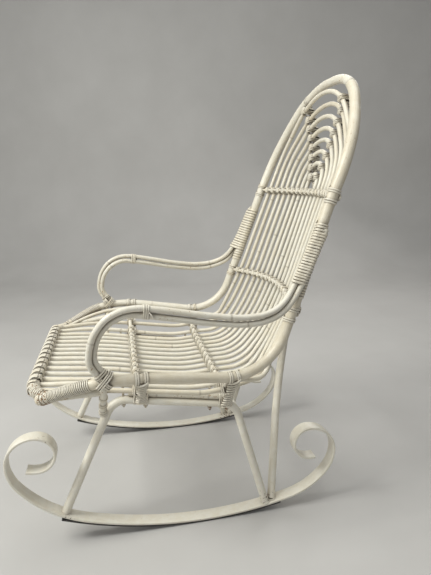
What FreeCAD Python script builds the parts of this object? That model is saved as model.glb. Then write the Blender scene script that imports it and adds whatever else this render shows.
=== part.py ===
import FreeCAD, Part
import math
import os

# Rocking chair: a painted steel rocking base that carries a rattan seat and back.
# Millimetres.  +Z is up, the sitter faces -Y and the sitter's left is +X.  The origin is on the
# floor under the middle of the bounding box.  Left and right pieces mirror each other in X = 0.

V = FreeCAD.Vector
doc = FreeCAD.newDocument("rocking_chair")
sheet = doc.addObject("Spreadsheet::Sheet", "dims")

DRIVING = {
    # rocking base
    "rocker_x": 213, "rocking_radius": 885, "contact_y": 28, "tread_thick": 3.5,
    "bar_thick": 5.5, "bar_width": 30, "tread_width": 30, "tread_front": -296, "tread_rear": 205,
    "tube_rad": 9.5, "tube_wall": 2, "stay_wall": 1.2, "cross_bar_y": 112, "cross_bar_z": 240,
    "cross_bar_rad": 7, "cross_bar_half": 188,
    # rattan poles
    "frame_rad": 12, "rod_rad": 5.5, "arm_rad": 6.4, "rail_pole_rad": 10, "runner_rad": 8.5,
    "cane_rad": 3.4, "lumbar_rad": 4.2, "bar_rad": 5, "post_rad": 7, "wrap_thick": 2.2,
    # shape of the back: a reclined plane through (recline_y, recline_z), hollowed in the middle
    "recline_y": 208.5, "recline_z": 496, "recline_slope": 0.352, "back_half": 238,
    "top_bow": 8, "bow_start": 740, "bow_run": 160,
    "back_gap": 8, "upper_bar_z": 736, "lumbar_bar_z": 504, "arch_rise": 1.15, "joint_x": 121,
    # nested rods
    "upper_pitch": 26.3, "lumbar_pitch": 27.5, "seat_pitch": 31, "front_pitch": 29.5,
    "first_arch_top": 787, "arch_step": 27.9, "vee_z": 748,
    # seat
    "front_y": -330, "front_z": 360, "mid_bar_y": -120, "rear_bar_y": 66,
    # fasteners
    "bolt_rad": 2.5, "bolt_head_rad": 5.5, "nut_rad": 5, "nut_high": 4.5,
    # moves every piece so that the origin lies under the middle of the bounding box
    "shift_y": -5,
}
for row, (name, value) in enumerate(DRIVING.items(), start=1):
    sheet.set("A%d" % row, name)
    sheet.set("B%d" % row, str(value))
    sheet.setAlias("B%d" % row, name)
doc.recompute()


def dim(name):
    return float(sheet.get(name))


ROD = dim("rod_rad")
FRAME = dim("frame_rad")
TUBE = dim("tube_rad")
WRAP = dim("wrap_thick")
SIDES = {"left": 1, "right": -1}
LOOPS = range(1, 9)
parts = []


# ---------------------------------------------------------------- document objects and paths

def keep(label, shape):
    """A sub-part whose shape is worked out in code; it is placed after its shape is set."""
    obj = doc.addObject("Part::Feature", label)
    obj.Label = label
    obj.Shape = shape
    obj.Placement = FreeCAD.Placement(V(0, dim("shift_y"), 0), FreeCAD.Rotation())
    parts.append(obj)
    return obj


def side_points(points, side):
    return [(side * p[0],) + tuple(p[1:]) for p in points]


def mirrored(points):
    """Points from one side, then the same points back down the other side."""
    return [tuple(p) for p in points] + side_points(points[::-1], -1)


def smooth_path(points, share=0.49):
    """Straight runs joined by tangent arcs.  A fourth number on a point is its bend radius;
    without one the arc is as large as the two runs allow."""
    bends = [p[3] if len(p) > 3 else None for p in points]
    points = [V(*p[:3]) for p in points]
    edges = []
    last = points[0]
    for before, corner, after, bend in zip(points, points[1:], points[2:], bends[1:]):
        back = before - corner
        ahead = after - corner
        reach = share * min(back.Length, ahead.Length)
        back.normalize()
        ahead.normalize()
        angle = back.getAngle(ahead)
        if math.pi - angle < 0.004:
            continue
        if bend:
            reach = min(bend / math.tan(angle / 2), 0.999 * (last - corner).Length)
        radius = reach * math.tan(angle / 2)
        inward = (back + ahead).normalize()
        middle = corner + inward * (radius / math.sin(angle / 2) - radius)
        start = corner + back * reach
        end = corner + ahead * reach
        if (start - last).Length > 0.01:
            edges.append(Part.LineSegment(last, start).toShape())
        edges.append(Part.Arc(start, middle, end).toShape())
        last = end
    edges.append(Part.LineSegment(last, V(*points[-1])).toShape())
    return Part.Wire(edges)


def pole(points, radius):
    """A round pole swept along the path through the points."""
    path = smooth_path(points)
    heading = path.Edges[0].tangentAt(path.Edges[0].FirstParameter)
    ring = Part.Circle(V(*points[0][:3]), heading, radius).toShape()
    return path.makePipe(Part.Face(Part.Wire(ring)))


def tube(points, radius, wall):
    return pole(points, radius).cut(pole(points, radius - wall))


def biggest(shape):
    return max(shape.Solids, key=lambda s: s.Volume)


def rod_between(a, b, radius):
    a = V(*a)
    b = V(*b)
    return Part.makeCylinder(radius, (b - a).Length, a, b - a)


def group(solids):
    return Part.makeCompound(solids)


def solids_of(shape, least=0.05):
    """The solids of a cut, without slivers."""
    top = max(s.Volume for s in shape.Solids)
    return [s for s in shape.Solids if s.Volume > least * top]


# ---------------------------------------------------------------- the surface of the back

# How deep the rods dip behind the outer frame on the centre line: (height, depth) pairs.
HOLLOW = [(0, 48), (700, 48), (790, 42), (868, 28), (926, 9), (957, 3), (985, -21), (1100, -21)]


def between(table, at):
    """The value at a place in a table of (place, value) pairs."""
    for (a, low), (b, high) in zip(table, table[1:]):
        if a <= at <= b:
            return low + (high - low) * (at - a) / (b - a)


def plane_y(z):
    """The reclined plane of the outer frame, bowed back a little near its top."""
    bow = dim("top_bow") * min(1, max(0, (z - dim("bow_start")) / dim("bow_run")))
    return dim("recline_y") + dim("recline_slope") * (z - dim("recline_z")) + bow


def hollow(x, z):
    """How far the rods lie behind the plane of the outer frame."""
    return dim("back_gap") + between(HOLLOW, z) * (1 - (x / dim("back_half")) ** 2)


def back_point(x, z, off=0):
    """The centre of a rod on the back at (x, z); off moves it square to the back, to the rear."""
    lean = math.atan(dim("recline_slope"))
    return V(x, plane_y(z) + hollow(x, z) + off * math.cos(lean), z - off * math.sin(lean))


def arch_corners(half, top):
    """Corners of the polygon round an elliptical arch, from the side to the top: (x, z) pairs."""
    rise = half * dim("arch_rise")
    near = math.tan(math.radians(22.5))
    return [(half, top - rise * (1 - near)), (half * near, top)]


# ---------------------------------------------------------------- rockers and rubber treads

def rocker_chain(scroll_front, scroll_rear, front_angle, rear_angle):
    """The rocker's underside from the front scroll's tip to the rear one's: (radius, turn) arcs."""
    chain = [(radius, turn) for radius, turn in reversed(scroll_front)]
    chain.append((dim("rocking_radius") - dim("tread_thick"), front_angle + rear_angle))
    chain.extend(scroll_rear)
    return chain


def chain_wire(chain, start, heading, offset):
    """Tangent arcs that all turn left, moved to their inner side by offset."""
    edges = []
    point = V(0, start[0], start[1])
    angle = math.radians(heading)
    first = None
    for radius, turn in chain:
        centre = point + V(0, -math.sin(angle), math.cos(angle)) * radius
        after = angle + math.radians(turn)
        half = (angle + after) / 2
        inner = radius - offset
        ends = [centre + V(0, math.sin(a), -math.cos(a)) * inner for a in (angle, half, after)]
        edges.append(Part.Arc(*ends).toShape())
        first = first or ends[0]
        point = centre + V(0, math.sin(after), -math.cos(after)) * radius
        angle = after
    return edges, first, ends[2]


SCROLL_FRONT = [(276, 36.1), (101, 36.2), (61, 90), (44, 90), (40, 90), (88, 16)]
SCROLL_REAR = [(171, 38.5), (85, 38.4), (68, 90), (39, 90), (44, 90), (98, 7)]
FRONT_ANGLE = 17.7
REAR_ANGLE = 13.1


def chain_start():
    """Walk the front scroll outward from the rocking arc to find the place of its tip."""
    radius = dim("rocking_radius") - dim("tread_thick")
    angle = -math.radians(FRONT_ANGLE)
    y = dim("contact_y") + radius * math.sin(angle)
    z = dim("rocking_radius") - radius * math.cos(angle)
    for bend, turn in SCROLL_FRONT:
        cy = y - bend * math.sin(angle)
        cz = z + bend * math.cos(angle)
        angle -= math.radians(turn)
        y = cy + bend * math.sin(angle)
        z = cz - bend * math.cos(angle)
    return (y, z), math.degrees(angle)


def side_sketch(body, name):
    """A sketch on the body's own YZ plane, whose x is world Y and whose y is world Z."""
    sketch = body.newObject("Sketcher::SketchObject", name)
    plane = [f for f in body.Origin.OriginFeatures if f.Role == "YZ_Plane"][0]
    sketch.AttachmentSupport = [(plane, "")]
    sketch.MapMode = "FlatFace"
    return sketch


def flat_pad(label, edges, width_alias, base):
    """A flat bar: an outline in the side view, padded both ways by its width."""
    body = doc.addObject("PartDesign::Body", label)
    body.Label = label
    sketch = side_sketch(body, label + "_outline")
    for edge in edges:
        curve = edge.Curve
        ends = [edge.Vertexes[0].Point, edge.Vertexes[-1].Point]
        if isinstance(curve, Part.Circle):
            mid = edge.valueAt((edge.FirstParameter + edge.LastParameter) / 2)
            flat = [V(p.y, p.z, 0) for p in (ends[0], mid, ends[1])]
            sketch.addGeometry(Part.Arc(*flat), False)
        else:
            flat = [V(p.y, p.z, 0) for p in ends]
            sketch.addGeometry(Part.LineSegment(*flat), False)
    pad = body.newObject("PartDesign::Pad", label + "_pad")
    pad.Profile = sketch
    pad.Midplane = True
    pad.setExpression("Length", "dims." + width_alias)
    sketch.Visibility = False
    body.Placement = FreeCAD.Placement(base, FreeCAD.Rotation())
    parts.append(body)
    return body


def rocker_outline():
    chain = rocker_chain(SCROLL_FRONT, SCROLL_REAR, FRONT_ANGLE, REAR_ANGLE)
    start, heading = chain_start()
    thick = dim("bar_thick")
    under, under_first, under_last = chain_wire(chain, start, heading, 0)
    upper, upper_first, upper_last = chain_wire(chain, start, heading, thick)
    caps = []
    for a, b, along in ((under_first, upper_first, -1), (under_last, upper_last, 1)):
        across = (b - a).normalize()
        out = V(0, across.z, -across.y) * along * (thick / 2)
        caps.append(Part.Arc(a, (a + b) * 0.5 + out, b).toShape())
    return under + upper + caps


def tread_outline():
    """The rubber strip under the rocking arc, from weld to weld."""
    big = dim("rocking_radius")
    thick = dim("tread_thick")
    centre = V(0, dim("contact_y"), big)
    ends = [math.asin((dim(name) - dim("contact_y")) / big) for name in ("tread_front", "tread_rear")]
    corners = {}
    edges = []
    for radius in (big, big - thick):
        pts = [centre + V(0, math.sin(a), -math.cos(a)) * radius for a in (ends[0], sum(ends) / 2, ends[1])]
        edges.append(Part.Arc(*pts).toShape())
        corners[radius] = pts
    for k in (0, 2):
        edges.append(Part.LineSegment(corners[big][k], corners[big - thick][k]).toShape())
    return edges


rockers = {}
treads = {}
for word, side in SIDES.items():
    base = V(side * dim("rocker_x"), dim("shift_y"), 0)
    rockers[word] = flat_pad("rocker_" + word, rocker_outline(), "bar_width", base)
    treads[word] = flat_pad("rubber_tread_" + word, tread_outline(), "tread_width", base)
doc.recompute()


# ---------------------------------------------------------------- steel tubes

HOOP = [(214, -294, 58), (185, -172, 314, 45), (188, 101, 272, 45), (217, 169, 20)]
BACK_STAY = [(213, 185, 20), (140, 219, 232), (98, 247, 345), (60, 283, 470, 80)]
BOLT_Y = [-150, -103, 42, 82]


def rail_point(y):
    """The centre of the hoop's seat rail at y (left side)."""
    a = HOOP[1]
    b = HOOP[2]
    share = (y - a[1]) / (b[1] - a[1])
    return V(a[0] + share * (b[0] - a[0]), y, a[2] + share * (b[2] - a[2]))


runner_rad = dim("runner_rad")
bolts = []
nuts = []
drills = []
for side in SIDES.values():
    for y in BOLT_Y:
        rail = rail_point(y)
        x = side * rail.x
        low = rail.z - TUBE - 9
        top = rail.z + TUBE + 2 * runner_rad + 2 * ROD + 1
        shank = Part.makeCylinder(dim("bolt_rad"), top - low, V(x, y, low))
        head = Part.makeSphere(dim("bolt_head_rad"), V(x, y, top - 2.5), V(0, 0, 1), 27, 90, 360)
        bolts.append(shank.fuse(head).removeSplitter())
        drills.append(Part.makeCylinder(dim("bolt_rad") + 0.1, top - low + 8, V(x, y, low - 2)))
        nut_low = rail.z - TUBE - dim("nut_high")
        corners = [math.radians(60 * k) for k in range(7)]
        hexagon = [V(x + dim("nut_rad") * math.cos(a), y + dim("nut_rad") * math.sin(a), nut_low)
                   for a in corners]
        nut = Part.Face(Part.makePolygon(hexagon)).extrude(V(0, 0, dim("nut_high")))
        nuts.append(nut.cut(drills[-1]))
drill = group(drills)
heads = group(bolts)

floor_steel = []
for obj in list(rockers.values()) + list(treads.values()):
    shape = obj.Shape.copy()
    shape.translate(V(0, -dim("shift_y"), 0))
    floor_steel.append(shape)
leg_blanks = {word: pole(side_points(HOOP, side), TUBE) for word, side in SIDES.items()}
leg_pair = list(leg_blanks.values())
for word, side in SIDES.items():
    hoop = tube(side_points(HOOP, side), TUBE, dim("tube_wall")).cut(floor_steel + [drill] + nuts)
    keep("side_hoop_" + word, biggest(hoop))

stay_blank = pole(mirrored(BACK_STAY), TUBE)
stay = tube(mirrored(BACK_STAY), TUBE, dim("stay_wall")).cut(floor_steel + leg_pair)
keep("back_stay", biggest(stay))

cross = doc.addObject("Part::Cylinder", "cross_bar_blank")
cross.setExpression("Radius", "dims.cross_bar_rad")
cross.setExpression("Height", "2 * dims.cross_bar_half")
cross.Placement = FreeCAD.Placement(
    V(-dim("cross_bar_half"), dim("cross_bar_y"), dim("cross_bar_z")),
    FreeCAD.Rotation(V(0, 0, 1), V(1, 0, 0)))
doc.recompute()
keep("cross_bar", biggest(cross.Shape.cut(leg_pair)))
keep("rail_bolts", group(bolts))
keep("rail_nuts", group(nuts))

# ---------------------------------------------------------------- seat and back rods

# The seat in the side view: dipped in the middle, rising to the front edge.
SEAT = [(-250, 354), (-170, 345), (-70, 325), (10, 315), (65, 320), (150, 322)]
ROD_6_LIFT = 6
ROD_7 = [(208, -319, 361), (226, -250, 362), (234, -170, 358), (236, -118, 351), (236, -20, 336),
         (236, 20, 330), (234, 74, 336), (217, 150, 345)]
ROD_8 = [(214, -306, 358), (263, -222, 383), (273, -130, 391), (254, 62, 365), (242, 154, 352)]
KNEE_Z = 400
KNEE_SET = 12
FRONT_RAIL = [(254, -190, 368), (246, -225, 368), (230, -330, 363, 60)]
FRAME_SEAT = [(234, -316, 356), (284, -215, 398), (290, -130, 404), (259, 158, 363, 125)]

seat_y = dim("front_y")


def seat_part(number):
    """The run of one rod from the front edge to the foot of the back (left side)."""
    if number == 7:
        return ROD_7
    if number == 8:
        return ROD_8
    x = dim("seat_pitch") * number
    lift = ROD_6_LIFT if number == 6 else 0
    front = (dim("front_pitch") * number, seat_y - 2, dim("front_z"))
    return [front] + [(x, y, z + lift) for y, z in SEAT]


def back_part(number):
    """The run of one rod up the back, to the shoulder of its arch."""
    x = 28.3 * number
    knee = back_point(x, KNEE_Z)
    low = back_point(dim("lumbar_pitch") * number, dim("lumbar_bar_z"))
    high = back_point(dim("upper_pitch") * number, dim("upper_bar_z"))
    return [(knee.x, knee.y - KNEE_SET, knee.z), tuple(low), tuple(high)]


def arch_top(number):
    return dim("first_arch_top") + dim("arch_step") * (number - 1)


def arch_part(number):
    corners = arch_corners(dim("upper_pitch") * number, arch_top(number))
    return [tuple(back_point(x, z)) for x, z in corners]


def loop_points(number):
    return mirrored(seat_part(number) + back_part(number) + arch_part(number))


def rod_at(number, y):
    """Height and x of a seat rod at y."""
    points = seat_part(number)
    for a, b in zip(points, points[1:]):
        if a[1] <= y <= b[1]:
            share = (y - a[1]) / (b[1] - a[1])
            return a[0] + share * (b[0] - a[0]), a[2] + share * (b[2] - a[2])


half = dim("back_half")
# the upper corners of the outer frame: x, z and bend radius
FRAME_ARCH = [(half, 735, 450), (half, 853, 270), (112, 1007, 190)]
frame_arch = [(x, plane_y(z), z, bend) for x, z, bend in FRAME_ARCH]
frame_path = mirrored(FRAME_SEAT + frame_arch)
frame_blank = pole(frame_path, FRAME)
rail_path = mirrored(FRONT_RAIL)
rail_blank = pole(rail_path, dim("rail_pole_rad"))

loops = {}
for number in LOOPS:
    loops[number] = biggest(pole(loop_points(number), ROD).cut(rail_blank))
loops[6] = biggest(loops[6].cut([drill, heads]))
centre_back = back_part(0)
centre_top = back_point(0, dim("vee_z"))
centre_points = seat_part(0) + centre_back[:2] + [tuple(centre_top)]
centre_rod = biggest(pole(centre_points, ROD).cut(rail_blank))
all_rods = list(loops.values()) + [centre_rod]

top_box = Part.makeBox(2 * dim("joint_x"), 300, 400, V(-dim("joint_x"), 250, 900))
frame_sides = frame_blank.cut([top_box, rail_blank] + [loops[8], loops[7]])
frame_poles = {}
for solid in solids_of(frame_sides):
    word = "left" if solid.CenterOfMass.x > 0 else "right"
    frame_poles[word] = solid
for word in SIDES:
    keep("frame_pole_" + word, frame_poles[word])
keep("top_arch", biggest(frame_blank.common(top_box)))
keep("seat_front_rail", rail_blank)
for number in LOOPS:
    keep("rod_loop_%d" % number, loops[number])
keep("centre_rod", centre_rod)

# ---------------------------------------------------------------- runners between rail and rods

runners = {}
for word, side in SIDES.items():
    lift = TUBE + runner_rad + 0.2
    points = [rail_point(y) + V(0, 0, lift) for y in (-138, 92)]
    points = [(side * p.x, p.y, p.z) for p in points]
    runner = pole(points, runner_rad).cut([drill, heads] + leg_pair + [loops[6], loops[5], loops[7]])
    runners[word] = biggest(runner)
    keep("runner_" + word, runners[word])

# ---------------------------------------------------------------- cross bars and carriers

CANE = dim("cane_rad")
LUMBAR = dim("lumbar_rad")
BAR = dim("bar_rad")


def back_cane(z, rise, radius, off, reach):
    """A cane across the back that follows its hollow; rise lifts the middle above the ends."""
    points = []
    for share in (1, 0.72, 0.4, 0.14):
        x = reach * share
        points.append(tuple(back_point(x, z + rise * (1 - share ** 2), off)))
    return pole(mirrored(points), radius)


bars = {}
back_cut = all_rods + [frame_blank]
bars["upper_front_cane"] = back_cane(741, 0, CANE, -(ROD + CANE + 0.1), 232)
bars["upper_back_cane"] = back_cane(741, 0, CANE, ROD + CANE + 0.1, 246)
bars["lumbar_front_cane"] = back_cane(498, 10, LUMBAR, -(ROD + LUMBAR + 0.1), 236)
bars["lumbar_back_cane"] = back_cane(498, 10, LUMBAR, ROD + LUMBAR + 0.1, 250)


def seat_bar(y, radius):
    """A bar across the seat, resting on the rods."""
    points = []
    over = ROD + radius + 0.15
    ends = rod_at(7, y)
    slope = (ends[1] - rod_at(6, y)[1]) / (ends[0] - rod_at(6, y)[0])
    points.append((ends[0] + 9, y, ends[1] + over + 9 * slope))
    for number in (6, 5, 2):
        x, z = rod_at(number, y)
        points.append((x, y, z + over))
    return pole(mirrored(points), radius)


bars["mid_seat_bar"] = seat_bar(dim("mid_bar_y"), BAR)
bars["rear_seat_bar"] = seat_bar(dim("rear_bar_y"), BAR)
for label, bar in bars.items():
    bars[label] = biggest(bar.cut(back_cut + [heads]))
    keep(label, bars[label])

vee_low = dim("vee_z") - 6
VEE = [(121, 984, 9), (78, 900, 11), (38, 822, 11), (5, vee_low + 14, 11)]
carriers = {}
carrier_paths = {}
for word, side in SIDES.items():
    carrier_paths[word] = [tuple(back_point(side * x, z, off)) for x, z, off in VEE]
    carrier = pole(carrier_paths[word], 4.6)
    others = [bars["upper_back_cane"], bars["upper_front_cane"]]
    if word == "right":
        others.append(carriers["left"])
    carriers[word] = biggest(carrier.cut(back_cut + others))
    keep("vee_carrier_" + word, carriers[word])

# ---------------------------------------------------------------- arms

ARM = dim("arm_rad")
ARM_UPPER = [(295, -187, 408), (303, -209, 446), (303, -206, 473), (303, -197, 502), (303, -174, 532),
             (303, -140, 547), (301, -109, 548), (300, -49, 537), (300, 17, 523), (300, 87, 513),
             (297, 130, 514), (290, 160, 521), (276, 184, 534), (264, 204, 556), (259, 224, 590),
             (258, 241, 630), (258, 261, 675)]
ARM_LOWER = [(292, -173, 408), (294, -199, 446), (294, -197, 470), (294, -188, 497), (294, -167, 521),
             (295, -136, 535), (298, -106, 533), (300, -30, 519), (300, 17, 509), (300, 90, 499),
             (297, 132, 500), (290, 165.5, 509), (276, 192, 523), (266, 215, 549), (265, 236, 590),
             (262.6, 253.5, 630), (260, 274, 675)]
arms = {}
for word, side in SIDES.items():
    upper = pole(side_points(ARM_UPPER, side), ARM)
    lower = pole(side_points(ARM_LOWER, side), ARM)
    arms["upper_" + word] = biggest(upper.cut([frame_blank] + list(bars.values())))
    arms["lower_" + word] = biggest(lower.cut([frame_blank, upper] + list(bars.values())))
for label, arm in arms.items():
    keep("arm_" + label, arm)

# ---------------------------------------------------------------- struts under the arm feet

STRUT = [(275, -187, 388), (256, -187, 362), (226, -190, 338, 30), (201, -195, 287)]
struts = {}
strut_cut = all_rods + leg_pair + [frame_blank, rail_blank] + list(runners.values())
for word, side in SIDES.items():
    strut = pole(side_points(STRUT, side), dim("post_rad")).cut(strut_cut)
    struts[word] = biggest(strut)
    keep("arm_strut_" + word, struts[word])

# ---------------------------------------------------------------- cane wraps and lashings

def near(shape, others):
    """Those of the others whose boxes meet the shape's box."""
    return [o for o in others if o.BoundBox.intersect(shape.BoundBox)]


def bind(blank, others, least=0.04):
    """Cane bound round poles: the blank less everything it goes round, as separate solids."""
    return group(solids_of(blank.cut(near(blank, others)), least))


def block(centre, size, lean=0):
    """A small box centred on a crossing, leaned back about X."""
    box = Part.makeBox(size[0], size[1], size[2], V(-size[0] / 2, -size[1] / 2, -size[2] / 2))
    box.Placement = FreeCAD.Placement(V(*centre), FreeCAD.Rotation(V(1, 0, 0), -lean))
    return box


def slab(x0, x1, y0, y1, z0, z1):
    return Part.makeBox(x1 - x0, y1 - y0, z1 - z0, V(x0, y0, z0))


bound = all_rods + list(bars.values()) + list(carriers.values()) + list(arms.values())
bound += [frame_blank, rail_blank, stay_blank, heads] + leg_pair + list(runners.values())
bound += list(struts.values())
lean = math.degrees(math.atan(dim("recline_slope")))
frame_thick = pole(frame_path, FRAME + WRAP)

# bindings of the bars to the rods, one at each crossing
rods = dict(loops)
rods[0] = centre_rod
CROSSINGS = {"upper_bar": ("upper_front_cane", "upper_back_cane"),
             "lumbar_bar": ("lumbar_front_cane", "lumbar_back_cane"),
             "mid_bar": ("mid_seat_bar",), "rear_bar": ("rear_seat_bar",)}
crossing_solids = {label: [] for label in CROSSINGS}
for number in rods:
    for side in ((1,) if number == 0 else (1, -1)):
        x = side * dim("upper_pitch") * number
        blocks = {"upper_bar": block(back_point(x, 741), (11, 30.5, 12), lean)}
        x = side * dim("lumbar_pitch") * number
        z = 498 + 10 * (1 - (x / 250) ** 2)
        blocks["lumbar_bar"] = block(back_point(x, z), (13, 35, 14), lean)
        if number < 8:
            for y, label in ((dim("mid_bar_y"), "mid_bar"), (dim("rear_bar_y"), "rear_bar")):
                x, z = rod_at(number, y)
                blocks[label] = block((side * x, y, z + BAR), (14, 13, 2 * ROD + 2 * BAR + 4))
        for label, blank in blocks.items():
            cutters = [rods[number]] + [bars[name] for name in CROSSINGS[label]]
            if number > 5:
                cutters += near(blank, [frame_blank, heads] + list(runners.values()))
            crossing_solids[label] += solids_of(blank.cut(cutters), 0.1)
lashings = {label: group(solids) for label, solids in crossing_solids.items()}
for label, shape in lashings.items():
    keep(label + "_lashings", shape)

# rings on the outer frame above and below the canes that end there
slots = []
for z in (741, 498):
    for side in SIDES.values():
        x = side * 245
        for low in (z - 14, z + 7):
            slots.append(slab(x - 40, x + 40, plane_y(z) - 40, plane_y(z) + 50, low, low + 7))
frame_rings = bind(frame_thick.common(group(slots)), bound)
keep("frame_rings", frame_rings)

# the long bindings that hold the arms to the frame, the arm rings and the arm feet
WRAP_LOW = 533
WRAP_HIGH = 689
arm_rings = []
foot_ties = []
for word, side in SIDES.items():
    thick_arms = [pole(side_points(points, side), ARM + WRAP) for points in (ARM_UPPER, ARM_LOWER)]
    low = min(side * 200, side * 330)
    tall = slab(low, low + 130, 150, 400, WRAP_LOW, WRAP_HIGH)
    upper_half = slab(low, low + 130, 150, 400, 562, WRAP_HIGH)
    sleeve = frame_thick.common(tall).fuse([arm.common(upper_half) for arm in thick_arms])
    keep("frame_wrap_" + word, biggest(sleeve.cut(near(sleeve, bound))))
    ring_slab = slab(low, low + 130, -104, -92, 500, 580)
    foot_slab = slab(low, low + 130, -240, -140, 411, 436)
    pair = thick_arms[0].fuse(thick_arms[1])
    arm_rings.append(pair.common(ring_slab))
    foot_ties.append(pair.common(foot_slab))
keep("arm_rings", bind(group(arm_rings), bound))
keep("arm_foot_ties", bind(group(foot_ties), bound))

# crossed strands from the outer frame in and down to the steel rail, front and rear on each side
strands = []
collars = []
for side in SIDES.values():
    for y, frame_x, frame_z in ((-112, 288, 401.5), (78, 268, 375.6)):
        for shift in (-9, 9):
            top = V(side * (frame_x - 8), y + shift, frame_z - FRAME - 2)
            end = rail_point(y - shift)
            low = V(side * (end.x + TUBE + 1), end.y, end.z + 4)
            strands.append(rod_between(low, top, 2.6))
            middle = side * 280
            collars.append(slab(middle - 40, middle + 40, y + shift - 4, y + shift + 4,
                                frame_z - 30, frame_z + 30))
crossed = strands[0].fuse(strands[1:])
keep("frame_collars", bind(frame_thick.common(group(collars)), bound))
keep("rail_strands", bind(crossed, bound + [parts[-1].Shape]))

# plait over the front edge and windings round the outer frame behind the front corners
rail_thick = pole(rail_path, dim("rail_pole_rad") + 3.5)
braid_box = slab(-172, 172, -380, -300, 300, 420)
front_braid = biggest(rail_thick.common(braid_box).cut(near(rail_thick, bound)))
keep("front_braid", front_braid)
winding_boxes = [slab(-310, -200, -304, -206, 300, 430), slab(200, 310, -304, -206, 300, 430)]
keep("side_windings", bind(frame_thick.common(group(winding_boxes)), bound))

# wrapped cores of the vee
vee_sleeves = []
for word in SIDES:
    sleeve = pole(carrier_paths[word], 4.6 + WRAP)
    if word == "right":
        sleeve = sleeve.cut(vee_sleeves[0])
    sleeve = sleeve.cut(near(sleeve, bound + [lashings["upper_bar"]]))
    vee_sleeves.append(sleeve)
keep("vee_wraps", group([solid for sleeve in vee_sleeves for solid in solids_of(sleeve, 0.03)]))

# bindings of the top arch joints, the back stay and the struts
joint_boxes = []
for side in SIDES.values():
    joint_boxes.append(slab(side * 121 - 24, side * 121 + 24, 300, 460, 940, 1040))
keep("arch_joint_ties", bind(frame_thick.common(group(joint_boxes)), bound))
stay_top = BACK_STAY[-1]
stay_blocks = []
for side in SIDES.values():
    low = V(side * 34, stay_top[1], stay_top[2])
    high = back_point(side * 34, 505, ROD + BAR)
    middle = (low + high) * 0.5
    stay_blocks.append(block(middle, (14, 26, (high - low).Length + 24)))
keep("stay_ties", bind(group(stay_blocks), bound + [lashings["lumbar_bar"]]))
band_solids = []
for word, side in SIDES.items():
    thick = pole(side_points(STRUT, side), dim("post_rad") + 2.4)
    middle = side * 240
    for z in (298, 318, 340):
        band_solids.append(thick.common(slab(middle - 60, middle + 60, -230, -150, z - 5, z + 5)))
keep("strut_bands", bind(group(band_solids), bound))

# ---------------------------------------------------------------- checks and export

doc.recompute()
for obj in doc.Objects:
    if "Invalid" in obj.State or "Error" in obj.State:
        raise RuntimeError("not computed: " + obj.Label)
for obj in parts:
    if obj.Shape.isNull() or not obj.Shape.isValid() or not obj.Shape.Solids:
        raise RuntimeError("bad shape: " + obj.Label)

os.makedirs("parts", exist_ok=True)
for obj in parts:
    obj.Shape.exportStep("parts/" + obj.Label + ".step")
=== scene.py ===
import math
import random
from math import cos, pi, radians, sin, tan

import bpy
import numpy as np
from mathutils import Matrix, Vector
from numpy.linalg import norm


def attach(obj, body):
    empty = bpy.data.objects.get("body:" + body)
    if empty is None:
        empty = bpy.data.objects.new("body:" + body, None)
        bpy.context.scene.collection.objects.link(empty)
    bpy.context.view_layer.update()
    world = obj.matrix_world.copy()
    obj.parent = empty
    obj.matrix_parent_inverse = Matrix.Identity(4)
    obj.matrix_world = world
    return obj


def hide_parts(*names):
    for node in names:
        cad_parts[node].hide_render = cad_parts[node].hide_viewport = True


# Rocking chair: painted steel base, painted rattan seat and back bound with split cane.
# Sizes below are millimetres in the frame's axes, before the shift along Y that centres the chair.
# Meshes are written in metres.

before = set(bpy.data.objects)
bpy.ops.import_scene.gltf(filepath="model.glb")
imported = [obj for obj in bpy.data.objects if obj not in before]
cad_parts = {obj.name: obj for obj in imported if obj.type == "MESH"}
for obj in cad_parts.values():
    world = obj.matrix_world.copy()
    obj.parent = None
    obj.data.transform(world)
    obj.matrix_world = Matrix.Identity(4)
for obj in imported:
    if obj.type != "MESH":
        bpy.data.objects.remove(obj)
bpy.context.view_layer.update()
scene = bpy.context.scene
MM = 0.001
SHIFT_Y = -5.0
SHARP_ANGLE = radians(52)
NODE_REACH = 9.0
NODE_STEP = 1.6
SIDES = {"left": 1, "right": -1}

# radii of the poles, canes and tubes
ROD = 5.5
FRAME = 12.0
ARCH_RAD = 10.6
CANE_RAD = 3.4
LUMBAR_RAD = 4.2
ARM = 6.4
TUBE = 9.5
RUNNER = 8.5
BAR = 5.0
RAIL = 10.0
STRUT_RAD = 7.0
CARRIER = 4.6
CROSS_BAR = 7.0


# ---- vectors and paths

def vec(*values):
    return np.array(values, float)


def unit(v):
    return v / max(norm(v), 1e-9)


def unit_rows(rows):
    return rows / norm(rows, axis=1)[:, None]


def side_points(points, side):
    return [(side * p[0],) + tuple(p[1:]) for p in points]


def mirrored(points):
    return [tuple(p) for p in points] + side_points(points[::-1], -1)


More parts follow.
